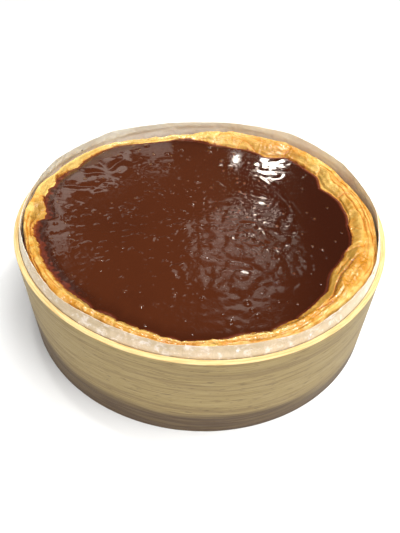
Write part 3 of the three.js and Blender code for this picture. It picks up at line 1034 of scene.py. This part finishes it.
class TART_OT_custard(bpy.types.Operator):
    """Spin the custard, then wrinkle its skin and set the bubbles"""

    bl_idname = "tart.custard"
    bl_label = "Chocolate Custard"

    def execute(self, context):
        look = context.scene.custard_look
        solid, shell = Solid("chocolate_custard"), Solid("pastry_shell")
        azimuths = round_azimuths(SKIN_STEPS)
        degrees = np.degrees(azimuths)
        side_heights = [12.5 * MM, 24 * MM, 36 * MM, 44 * MM, 48.6 * MM]
        shares = np.linspace(1, 0, SKIN_ROWS)
        low = solid.low.z
        profile = [(0, low), (0.04, low), (0.076, low)]
        profile += [(0.079, height) for height in side_heights]
        profile += [(0.077 * share, 50 * MM) for share in shares]
        piece = turned("chocolate_filling", profile, SKIN_STEPS)
        sheet = Sheet(piece, profile, SKIN_STEPS)

        edge = lip_line(shell, azimuths) + 0.45 * MM
        skin_radius = edge * shares[:, None]
        relief, wrinkled = self.surface(look, azimuths, degrees, skin_radius, edge)
        skin = solid.high.z - look.dish * (1 - shares[:, None] ** 6) + relief
        skin[-1] = skin[-1].mean()
        sides = [eased(solid.radius(azimuths, height), 2) for height in side_heights]
        flat = np.zeros(SKIN_STEPS)
        radius = [flat, flat + 0.04, sides[0] - 2.6 * MM, *sides, *skin_radius]
        height = [flat + low] * 3 + [flat + row for row in side_heights] + list(skin)
        sheet.place(np.array(radius), np.array(height))

        def paint(name, table):
            hidden = np.zeros((3 + len(side_heights), SKIN_STEPS))
            sheet.paint(name, np.concatenate([hidden, table]))

        paint("inset", (edge - skin_radius) / MM)
        paint("torn", np.repeat(stretch(degrees, *TORN, 5)[None, :], SKIN_ROWS, axis=0))
        paint("wrinkled", wrinkled)
        finished(piece, "chocolate_custard", custard_finish(look), angle=70)
        return {"FINISHED"}

    def surface(self, look, azimuths, degrees, radii, edge):
        """Height of the skin's waves, wrinkles, strokes and bubbles, and where it is wrinkled."""
        wrinkle, wave = look.wrinkle, look.wave
        places = around(azimuths[None, :], radii, 0)
        x, y = places[:, 0], places[:, 1]
        radius = np.hypot(x, y)
        inset = ((edge - radii) / MM).ravel()
        ring = np.tile(degrees, len(radii))
        drift = bumps(places, 14, 61)
        ragged = drift * 5 + bumps(places, 6, 60) * 3

        crumpled = oval(x, y, (20 + ragged, -18 - ragged), (29, 43), -11)
        crumpled = crumpled * mixed(1, 0.32, smooth(y, -10, 12))
        back_left = oval(x, y, (-57 + ragged, 36), (16, 30), -34)
        left = oval(x, y, (-64, -12 + ragged), (8, 30), 12)
        back = oval(x, y, (-14, 47), (30, 10))
        sparse = oval(x, y, (-12, -12), (62, 60)) * smooth(x, 8, -6)
        star = oval(x, y, (36, 47), (15, 13))
        front_right = oval(x, y, (55, -38), (12, 22), -34)
        front = smooth(radius, 54, 61) * smooth(radius, 79, 75) * stretch(ring, 205, 300, 12)
        torn = smooth(inset, 6.5, 3) * stretch(ring, *TORN, 5)

        # the wrinkled patch that mirrors the window
        flowing = places + np.stack([drift * 4, bumps(places, 11, 59) * 4, drift * 0], axis=1)
        skin = bumps(places, 30, 62) * wave * 0.5
        skin += creased(flowing, 10, 63) * wrinkle * 1.3 * crumpled
        skin += creased(places, 5.2, 64) * wrinkle * 0.7 * crumpled
        skin += bumps(places, 2.4, 72) * wrinkle * 0.45 * crumpled
        # single flecks over the calm skin
        flecks = np.clip(bumps(places, 2.3, 74) + 0.4 * drift - 0.32, 0, 1)
        skin += flecks * 0.55 * MM * sparse
        # folds at the back and the left
        skin += creased(flowing, 15, 65) * wave * 1.3 * back_left
        skin += creased(places, 8, 66) * wave * 0.5 * np.maximum(0.35 * left, back)
        # fine strokes along the front left
        lines = np.sin(TURN * radius / 2.7 + 2.4 * bumps(places, 17, 68))
        lines = lines * stretch(ring, 200, 262, 12) * smooth(bumps(places, 8, 69), -0.2, 0.3)
        skin += (bumps(places, 3.2, 67) * 0.4 + lines * 0.22) * wrinkle * front
        # the torn edge, the creases under the lamp and the grain of the whole skin
        skin += bumps(places, 2.4, 70, 2) * 0.3 * MM * torn
        skin += creased(places, 8, 73) * 0.05 * MM * star
        skin += bumps(places, 1.7, 71) * 0.006 * MM
        skin += bumps(places, 2.2, 75) * wrinkle * 0.7 * front_right
        skin += self.strokes(x, y) + self.beads(x, y)
        wrinkled = np.maximum(crumpled, 0.35 * front)
        return skin.reshape(radii.shape), wrinkled.reshape(radii.shape)

    def strokes(self, x, y):
        """The strokes that a spoon left."""
        height = np.zeros(len(x))
        for rise, width, path in STROKES:
            away = np.full(len(x), 99.0)
            for (ax, ay), (bx, by) in zip(path, path[1:]):
                dx, dy = bx - ax, by - ay
                part = np.clip(((x - ax) * dx + (y - ay) * dy) / (dx * dx + dy * dy), 0, 1)
                away = np.minimum(away, np.hypot(x - ax - part * dx, y - ay - part * dy))
            height += rise * MM * np.exp(-((away / width) ** 2))
        return height

    def beads(self, x, y):
        """The few bubbles and swells that stand out."""
        height = np.zeros(len(x))
        spots = [(*place, BEAD_SIZE, BEAD_HEIGHT) for place in BEADS]
        spots += [(*place, size, SWELL_SHARE * size) for *place, size in SWELLS]
        for place_x, place_y, size, rise in spots:
            near = (np.abs(x - place_x) < 4 * size) & (np.abs(y - place_y) < 4 * size)
            away = np.hypot(x[near] - place_x, y[near] - place_y) / size
            height[near] += np.exp(-(away**2)) * rise
        return height * MM


def custard_finish(look):
    """Glossy chocolate custard with small bubbles, a thin red-brown edge, and painted shade towards
    its right side and towards the pastry.
    """
    custard = Finish("glossy_chocolate", IOR=1.46, Coat_Roughness=0.03)
    inset, torn = custard.attribute("inset"), custard.attribute("torn")
    cloudy = custard.noise(custard.place((24, 24, 24)), 1, 3, 0.5)
    shreds = custard.noise(custard.place((300, 300, 300)), 1, 3, 0.6, 0.8)
    facets = custard.noise(custard.place((420, 420, 420)), 1, 2)
    fine = custard.noise(custard.place((500, 500, 500)), 1, 2, 0.5)
    crumple = custard.noise(custard.place((380, 380, 380)), 1, 4, 0.6, 0.9)
    bubbles = custard.plus(custard.bubbles(150, 0.2), custard.bubbles(260, 0.22))

    # Painted shade: the custard darkens towards its right side and within a few millimetres of the
    # pastry, and a painted shadow lies along the torn edge. The cloudy patches use the same colour
    # as a real darker tone.
    side = custard.span(custard.axes()[0], 0, 65 * MM)
    dark_and_shaded = custard.maths("MAXIMUM", side, custard.span(inset, 9, 1, 0, 0.5))
    base = custard.blend(dark_and_shaded, look.body, look.dark_and_shaded)
    base = custard.blend(custard.span(cloudy, 0.4, 0.7, 0, 0.2), base, look.dark_and_shaded)
    shadow = custard.times(custard.span(inset, 5.5, 3.5, 0, 0.7), torn)
    base = custard.blend(shadow, base, look.dark_and_shaded)
    uneven = custard.plus(inset, custard.times(shreds, -5.6))
    ragged = custard.times(custard.span(uneven, 0.2, -0.6, 0, 0.8), torn)
    ragged = custard.times(ragged, custard.span(facets, 0.42, 0.58))
    thin = custard.maths("MAXIMUM", ragged, custard.span(inset, 2, 0.4, 0, 0.7))
    base = custard.blend(thin, base, look.rim)
    # The bubbles are painted paler: partly real froth, partly a painted sheen standing in for their
    # glints.
    base = custard.blend(custard.times(bubbles, 0.3), base, look.froth_and_sheen)

    frayed = custard.times(custard.span(inset, 6, 3, 0, 0.3), torn)
    rough = custard.plus(custard.span(fine, 0.3, 0.7, 0.04, 0.12), frayed)
    rough = custard.maths("MAXIMUM", rough, custard.span(inset, 1.6, 0.5, 0, 0.4))
    relief = custard.relief(fine, 0.012 * MM)
    relief = custard.relief(bubbles, look.bubble, relief)
    crumple = custard.times(crumple, custard.attribute("wrinkled"))
    custard.set("Base Color", base)
    custard.set("Roughness", rough)
    custard.set("Coat Weight", custard.span(inset, 0.8, 2.5, 0, 0.5))
    custard.set("Normal", custard.relief(crumple, 0.25 * MM, relief))
    return custard.material


# ---------------------------------------------------------------------------------------------
# Floor, light and camera
# ---------------------------------------------------------------------------------------------


class StageLook(bpy.types.PropertyGroup):
    """Floor and light."""

    floor: colour("Floor", "Pale floor", 246, 246, 245)
    dust: colour("Dust", "Faint grey patches on the floor", 231, 231, 231)
    window: colour("Window light", "Warm light that the custard mirrors", 255, 247, 236)
    air: colour("Surroundings", "Soft light from all round", 255, 255, 255)
    brightness: FloatProperty(name="Brightness", description="Of the soft boxes", default=1, min=0)


CAMERA_PLACE = (0, -0.19395, 0.19918)
CAMERA_RIGHT = (0.9986, 0.03764, 0.03714)
CAMERA_UP = (-0.05286, 0.68973, 0.72213)
FOCAL_LENGTH = 32.83
SENSOR = 36

# Height of the custard, which mirrors the lights and is what they point at.
MIRROR_LEVEL = 50 * MM

# Soft boxes that the custard mirrors: name, where each is seen in it (degrees to the right of
# straight back, and above the horizon), its width and height in metres, and its radiance.
MIRRORED = [
    ("window_main", 6, 41.6, 0.22, 0.21, 1),
    ("window_left", -16, 32.5, 0.22, 0.09, 0.95),
    ("window_side", -20.4, 36.8, 0.055, 0.1, 1),
    ("window_low", -20.8, 40.4, 0.04, 0.045, 0.9),
    ("window_back", -6.5, 31.8, 0.08, 0.04, 0.6),
    ("lamp_right", 8.2, 31.6, 0.055, 0.034, 30),
    ("lamp_back", 3.8, 31.3, 0.016, 0.016, 20),
]
MIRRORED_DISTANCE = 1.2
# Soft boxes round the stage: name, place, width and height in metres, and radiance.
ROUND = [
    ("overhead", (0.38, -0.1, 1.15), 0.8, 0.8, 7.9),
    ("front_fill", (-0.2, -1.5, 0.9), 1.2, 0.9, 2.3),
    ("right_fill", (1.5, -0.2, 0.8), 1, 0.8, 0.2),
    ("spark", (-0.1, 0.15, 1.2), 0.06, 0.06, 170),
    ("spark_right", (0.38, 0.3, 1.1), 0.06, 0.06, 170),
]


class TART_OT_stage(bpy.types.Operator):
    """Lay the pale floor, hang the soft boxes and set the camera"""

    bl_idname = "tart.stage"
    bl_label = "Floor, Light and Camera"

    def execute(self, context):
        look = context.scene.stage_look
        deselect()
        bpy.ops.mesh.primitive_plane_add(size=6)
        floor = context.object
        floor.name = "floor"
        floor.data.materials.append(floor_finish(look))
        context.scene.camera = self.add_camera()
        mirrored_eye = Vector(CAMERA_PLACE)
        mirrored_eye.z = 2 * MIRROR_LEVEL - mirrored_eye.z
        for name, right, up, wide, high, radiance in MIRRORED:
            place = mirrored_eye + self.direction(right, up) * MIRRORED_DISTANCE
            window = self.add_box(name, place, wide, high, radiance * look.brightness)
            window.data.shape = "ELLIPSE"
            window.data.color = look.window
        for name, place, wide, high, radiance in ROUND:
            self.add_box(name, Vector(place), wide, high, radiance * look.brightness)
        self.set_surroundings(context.scene, look)
        return {"FINISHED"}

    def direction(self, right, up):
        """A direction in degrees to the right of straight back and above the horizon."""
        right, up = math.radians(right), math.radians(up)
        flat = math.cos(up)
        return Vector((math.sin(right) * flat, math.cos(right) * flat, math.sin(up)))

    def add_camera(self):
        """The camera, placed and turned as the photograph's perspective shows."""
        right, up = Vector(CAMERA_RIGHT), Vector(CAMERA_UP)
        back = right.cross(up)
        turn = Matrix((right, up, back)).transposed()
        bpy.ops.object.camera_add(location=CAMERA_PLACE, rotation=turn.to_euler())
        camera = bpy.context.object
        camera.name = "photo_camera"
        camera.data.sensor_width = SENSOR
        camera.data.lens = FOCAL_LENGTH
        camera.data.clip_start = 0.01
        return camera

    def add_box(self, name, place, wide, high, radiance):
        """A soft box that points at the middle of the custard."""
        towards = Vector((0, 0, MIRROR_LEVEL)) - place
        turn = towards.to_track_quat("-Z", "Y").to_euler()
        bpy.ops.object.light_add(type="AREA", location=place, rotation=turn)
        light = bpy.context.object
        light.name = name
        light.data.shape = "RECTANGLE"
        light.data.size, light.data.size_y = wide, high
        light.data.energy = radiance * math.pi * wide * high
        return light

    def set_surroundings(self, scene, look):
        """Pale all round, but dim behind the tart, where the custard would mirror it."""
        scene.view_settings.view_transform = "Standard"
        scene.view_settings.look = "None"
        world = bpy.data.worlds.new("studio")
        scene.world = world
        world.use_nodes = True
        nodes, links = world.node_tree.nodes, world.node_tree.links
        air = nodes["Background"]
        air.inputs["Color"].default_value = (*look.air, 1)
        direction = nodes.new("ShaderNodeTexCoord")
        split = nodes.new("ShaderNodeSeparateXYZ")
        links.new(direction.outputs["Generated"], split.inputs[0])
        fade = nodes.new("ShaderNodeMapRange")
        fade.interpolation_type = "SMOOTHSTEP"
        for socket, value in zip(fade.inputs[1:5], (-0.3, 0.5, 0.55, 0.03)):
            socket.default_value = value
        links.new(split.outputs["Y"], fade.inputs["Value"])
        seen = nodes.new("ShaderNodeLightPath")
        choose = nodes.new("ShaderNodeMix")
        links.new(seen.outputs["Is Camera Ray"], choose.inputs[0])
        links.new(fade.outputs[0], choose.inputs[2])
        choose.inputs[3].default_value = 0.85
        links.new(choose.outputs[0], air.inputs["Strength"])


def floor_finish(look):
    """A pale matt floor with the faintest patches."""
    floor = Finish("pale_floor", Roughness=0.8)
    dust = floor.span(floor.noise(floor.place((3, 3, 3)), 1, 2), 0.3, 0.7, 0, 0.04)
    floor.set("Base Color", floor.blend(dust, look.floor, look.dust))
    return floor.material


# ---------------------------------------------------------------------------------------------
# Panel and registration
# ---------------------------------------------------------------------------------------------

LOOKS = {
    "wood_look": WoodLook,
    "paper_look": PaperLook,
    "pastry_look": PastryLook,
    "custard_look": CustardLook,
    "stage_look": StageLook,
}
STEPS = [TART_OT_hoop, TART_OT_board, TART_OT_paper, TART_OT_pastry, TART_OT_custard, TART_OT_stage]


class TART_PT_sidebar(bpy.types.Panel):
    """Lists the steps that make the tart"""

    bl_idname = "TART_PT_sidebar"
    bl_label = "Custard Tart"
    bl_space_type = "VIEW_3D"
    bl_region_type = "UI"
    bl_category = "Tart"

    def draw(self, context):
        for step in STEPS:
            self.layout.operator(step.bl_idname)
        for name, look in LOOKS.items():
            box = self.layout.box()
            for setting in look.__annotations__:
                box.prop(getattr(context.scene, name), setting)


def register():
    """Adds the looks, the steps and the panel to the session."""
    for kind in (*LOOKS.values(), *STEPS, TART_PT_sidebar):
        bpy.utils.register_class(kind)
    for name, look in LOOKS.items():
        setattr(bpy.types.Scene, name, PointerProperty(type=look))


def unregister():
    """Takes the looks, the steps and the panel away again."""
    for name in LOOKS:
        delattr(bpy.types.Scene, name)
    for kind in reversed((*LOOKS.values(), *STEPS, TART_PT_sidebar)):
        bpy.utils.unregister_class(kind)


def main():
    """Makes the tart and its stage step by step."""
    register()
    for step in STEPS:
        group, name = step.bl_idname.split(".")
        getattr(getattr(bpy.ops, group), name)()


if __name__ == "__main__":
    main()
